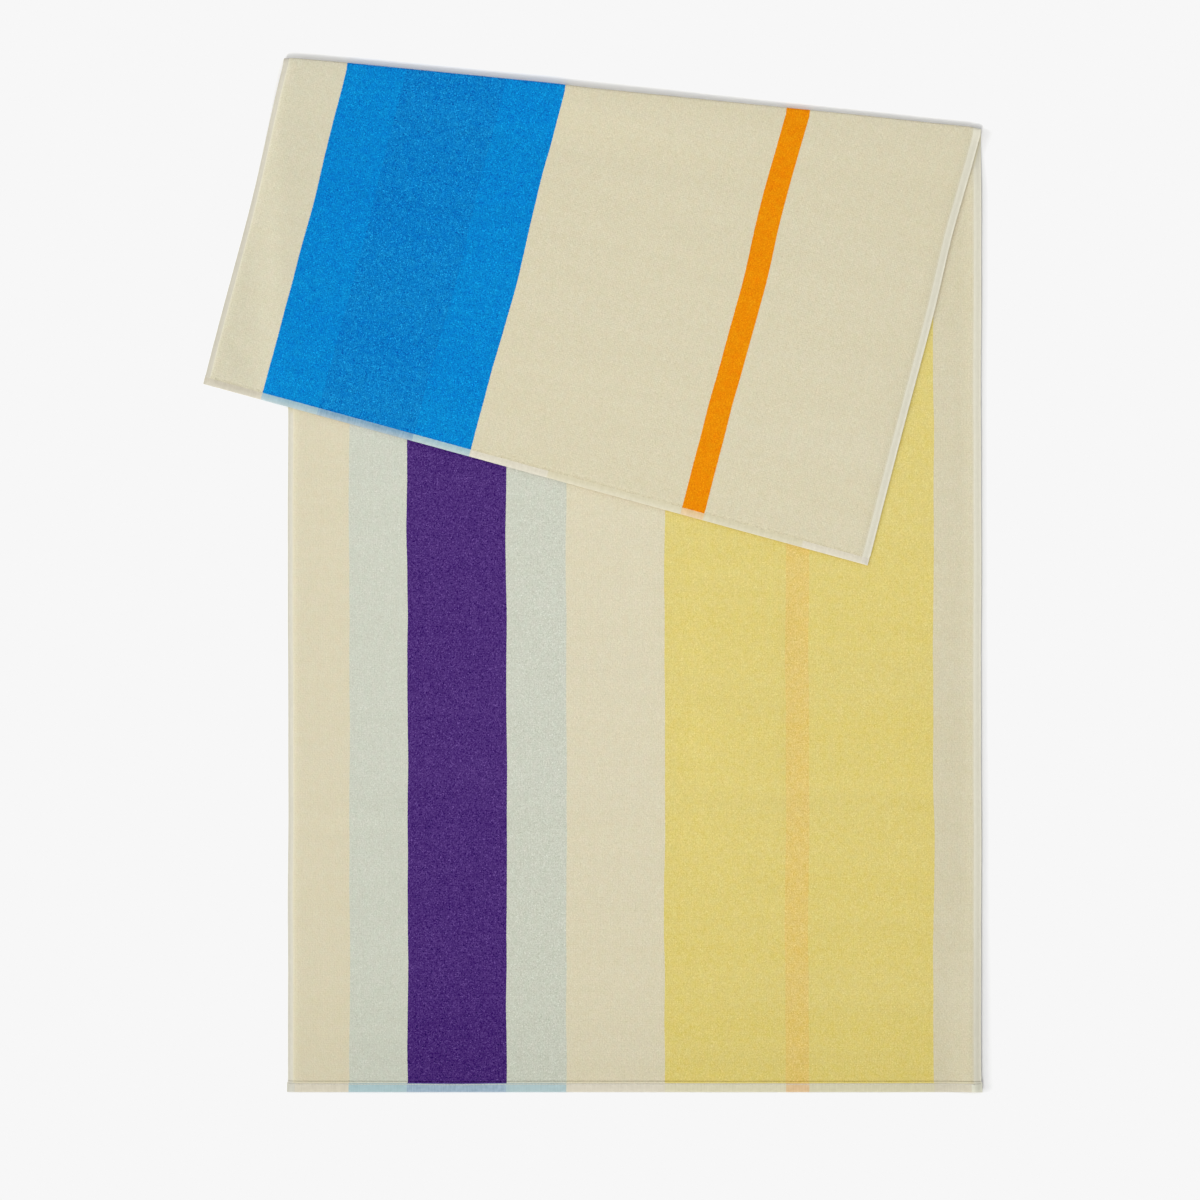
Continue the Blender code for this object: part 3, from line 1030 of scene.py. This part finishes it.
# %% Loops round the fold and where the pile ends
YARN_PITCH = 1.12 * MM
ROWS_PAST_NOSE = np.arange(-3.6, 6.3, 1.35) * MM  # round the fold, from its nose
ROWS_BY_HEM = np.array([7.5, 8.8]) * MM  # on the flap, from its hem
NOSE_DEPTH, DEEPER, HEM_DEPTH = 0.92 * MM, 0.13 * MM, 0.80 * MM  # how deep loops are rooted
pile_columns = np.arange(SELVEDGE_LEFT + 0.6 * MM, WIDTH - SELVEDGE_RIGHT, YARN_PITCH)
past_nose, places = crossing(ROWS_PAST_NOSE, pile_columns)
fold_depth = NOSE_DEPTH + DEEPER * ease(np.abs(past_nose - 1.0 * MM) / (5.5 * MM))
fold_line = np.interp(nose + past_nose, along_outer, np.arange(rows))
fold_loops = loops("loops_fold", "b", fold_line, places, fold_depth)
hem_line, places = crossing(row_at(flap, ROWS_BY_HEM), pile_columns)
flap_loops = loops("loops_flap_hem", "b", hem_line, places, HEM_DEPTH, lean=0.3)

# %% [markdown]
# ## Stitches
#
# Each hem is turned in and held by one row of straight machine stitches, about 8 to a thumb's
# width. The thread is two plies twisted together, so a fine slanting wave shades and raises it.

# %% Rows of stitches
STITCH_PITCH, STITCH_DEPTH = 3.2 * MM, 0.12 * MM
STITCH = Arch(length=2.8 * MM, height=0.42 * MM, radius=0.32 * MM, rings=7, sides=6)
holes = np.arange(2.4 * MM, WIDTH - 2 * MM, STITCH_PITCH)
seams = []
for name, side, part in (("near_face", "a", lower), ("near_reverse", "b", lower), ("flap_face", "a", flap)):
    row = np.full(len(holes), row_at(part, STITCHES))
    feet, forward, up = place(side, row, holes, STITCH_DEPTH)
    stitches, count = arches("stitches_" + name, feet, np.cross(up, forward), up, STITCH)
    write_map(stitches, np.repeat(np.stack([holes, np.zeros(len(holes))], -1), count, axis=0))
    seams.append(stitches)

thread, tree, _ = cotton("sewing_thread")
here = add(tree, "TexCoord").outputs["Object"]
twist = add(tree, "TexWave", {"Vector": here, "Scale": 900.0, "Distortion": 1.0},
            bands_direction="DIAGONAL").outputs["Fac"]
ply = times(tree, tuple(paint(THREAD_COLOUR)), scaled(tree, twist, 0.12, 0.92))
finish(tree, ply, scaled(tree, twist, -0.15, 0.90), twist, 0.08 * MM)
for stitches in seams:
    stitches.data.materials.append(thread)

# %% [markdown]
# ## What stands for what
#
# The cloth takes the place of the frame's plain solid, which is hidden. The cloth, its loops and
# its stitches are each attached to the root.

small_pieces = seams + [fold_loops, flap_loops]
for piece in [cloth] + small_pieces:
    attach(piece, "root")
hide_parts("towel")
print("on the cloth:", [piece.name for piece in small_pieces])

# %% [markdown]
# ## Floor and light
#
# The towel lies on a bright pale floor. Most of the light is an even sky, as in a white tent, so
# shadows stay pale. A broad key light from the near side gives the fold its soft shadow, and a
# low one from the left draws the right side. A panel over the middle makes the light fall off a
# little to the ends. The view's white is held a little below full, and the floor reaches it.

# %% Stage
FLOOR_HALF, FLOOR_DROP = 30.0, 0.2 * MM
floor_points = np.array([[-1, -1, 0], [1, -1, 0], [1, 1, 0], [-1, 1, 0]]) * FLOOR_HALF
floor_points -= (0, 0, FLOOR_DROP)
floor = mesh_object("floor", floor_points, np.array([[0, 1, 2, 3]]))
floor_paint = bpy.data.materials.new("floor_paint")
floor_paint.use_nodes = True
fill(floor_paint.node_tree, floor_paint.node_tree.nodes["Principled BSDF"],
     {"Base Color": (0.87, 0.87, 0.87, 1.0), "Roughness": 1.0, "Specular IOR Level": 0.0})
floor.data.materials.append(floor_paint)

SKY, PANEL, KEY, LOW, SIDE = 0.48, 0.28, 0.36, 0.04, 0.22  # light of each on the floor's middle
world = bpy.data.worlds.new("sky")
world.use_nodes = True
fill(world.node_tree, world.node_tree.nodes["Background"], {"Color": (1.0, 1.0, 1.0, 1.0), "Strength": SKY})
bpy.context.scene.world = world


def lamp(kind, name, place, power, **settings):
    """A lamp of a kind at a place, aimed at the middle of the towel."""
    light = bpy.data.lights.new(name, kind)
    light.energy = power
    for key, value in settings.items():
        setattr(light, key, value)
    holder = linked(name, light)
    holder.location = place
    holder.rotation_euler = (-Vector(place)).to_track_quat("-Z", "Y").to_euler()
    return holder


def sun(name, toward, amount, angle):
    """A sun from a direction: its light on a level surface, and its softness in degrees."""
    place = Vector(toward).normalized() * 5
    return lamp("SUN", name, place, amount * np.pi / place.normalized().z, angle=np.radians(angle))


sun("key_light", (-0.34, -0.80, 1.0), KEY, 13)
sun("low_light", (0.0, -1.0, 0.40), LOW, 30)
sun("side_light", (-0.87, -0.03, 0.40), SIDE, 32)
PANEL_HEIGHT, PANEL_SIZE = 0.9, 1.0
WIDE = 1.15  # a wide panel lights its middle less than a small lamp would
panel_power = PANEL * np.pi ** 2 * PANEL_HEIGHT ** 2 * WIDE
panel = lamp("AREA", "panel_light", (0.0, 0.14, PANEL_HEIGHT), panel_power, size=PANEL_SIZE)
panel.visible_camera = False

VIEW_WHITE = 0.93
view = bpy.context.scene.view_settings
view.view_transform = "Standard"
view.use_curve_mapping = True
view.curve_mapping.extend = "HORIZONTAL"
view.curve_mapping.curves[3].points[1].location = (1.0, VIEW_WHITE)
view.curve_mapping.update()
print("light on the floor's middle:", round(SKY + PANEL + KEY + LOW + SIDE, 2))

# %% [markdown]
# ## The camera
#
# It looks straight down through the panel with a long lens, so the towel's sides stay parallel.

# %% Camera
CAMERA_HEIGHT = 3.2
VIEW_WIDTH = 1209.4 * MM
VIEW_ACROSS, VIEW_ALONG = 314.8 * MM, 495.5 * MM  # its middle, from the near left corner
camera = linked("camera", bpy.data.cameras.new("camera"))
camera.location = (left_x + VIEW_ACROSS, near_y + VIEW_ALONG, CAMERA_HEIGHT)
camera.data.lens = camera.data.sensor_width * CAMERA_HEIGHT / VIEW_WIDTH
bpy.context.scene.camera = camera
print("lens, mm:", round(camera.data.lens, 1))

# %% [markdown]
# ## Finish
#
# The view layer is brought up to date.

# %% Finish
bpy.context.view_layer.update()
